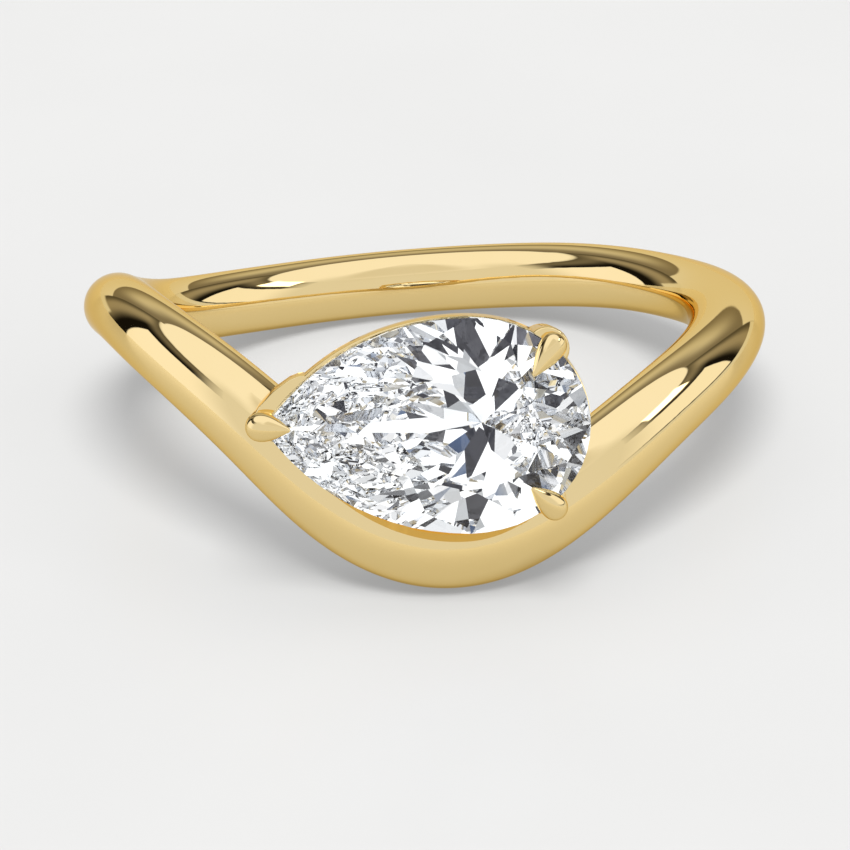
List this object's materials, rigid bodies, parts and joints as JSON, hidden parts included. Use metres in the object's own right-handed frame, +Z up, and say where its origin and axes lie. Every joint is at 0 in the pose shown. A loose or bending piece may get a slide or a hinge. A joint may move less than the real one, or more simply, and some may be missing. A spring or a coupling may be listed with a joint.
{
  "type": "pear solitaire ring",
  "caption": "Yellow gold finger ring with a contour shank that dips in front, and a pear-cut white stone set lengthwise across the finger in a rim with claws.",
  "frame": {"origin": "middle of the ring's box, on the surface that the ring rests on", "axes": "+Z up from the surface, -Y towards the side that the stone faces, +X towards the stone's round end"},
  "size_m": [0.021, 0.023, 0.0087],
  "materials": {
    "yellow_gold": "polished",
    "white_stone": "polished facets"
  },
  "bodies": {
    "root": {"ring_mount": "yellow_gold", "pear_stone": "white_stone"}
  },
  "joints": []
}
